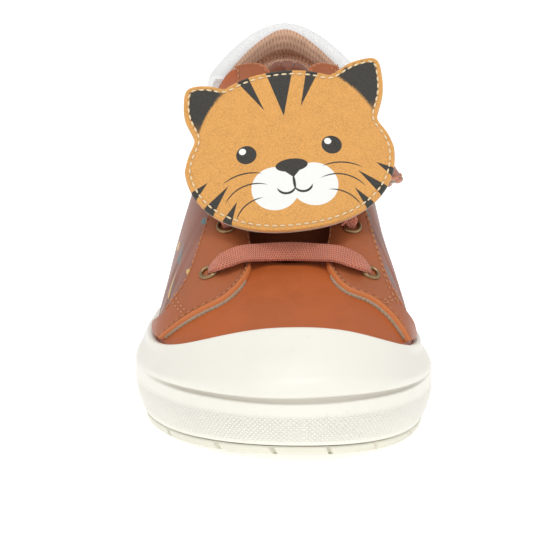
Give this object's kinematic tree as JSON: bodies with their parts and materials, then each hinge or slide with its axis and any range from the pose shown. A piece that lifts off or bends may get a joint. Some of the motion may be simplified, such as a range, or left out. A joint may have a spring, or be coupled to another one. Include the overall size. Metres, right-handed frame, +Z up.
{
  "type": "sneaker",
  "caption": "Toddler's mid-top sneaker for the right foot, with a rubber toe cap and sidewall, elastic lace bars, a hook-and-loop strap and an animal-face patch.",
  "frame": {"origin": "on the floor under the middle of the shoe's box", "axes": "+Z up, the toe to -Y and the heel to +Y, the outer side of the foot to -X and the inner side to +X"},
  "size_m": [0.071, 0.1598, 0.0825],
  "materials": {
    "outsole_rubber": "matt off-white rubber",
    "sole_rubber": "satin off-white rubber",
    "leather": "smooth cognac leather, satin",
    "tongue_leather": "smooth brown leather",
    "collar_fabric": "white padded fabric",
    "insole_fabric": "peach knitted lining",
    "elastic_knit": "rust-coloured elastic knit",
    "nubuck": "mustard nubuck with a printed animal face",
    "eyelet_brass": "antique brass"
  },
  "bodies": {
    "root": {"outsole": "outsole_rubber", "cupsole": "sole_rubber", "upper": "leather", "insole": "insole_fabric", "tongue": "tongue_leather", "collar": "collar_fabric", "facing_lateral": "leather", "eyelet_lateral_1": "eyelet_brass", "eyelet_lateral_2": "eyelet_brass", "facing_medial": "leather", "eyelet_medial_1": "eyelet_brass", "eyelet_medial_2": "eyelet_brass", "elastic_1": "elastic_knit", "elastic_2": "elastic_knit", "strap": "leather", "face_patch": "nubuck"}
  },
  "joints": []
}
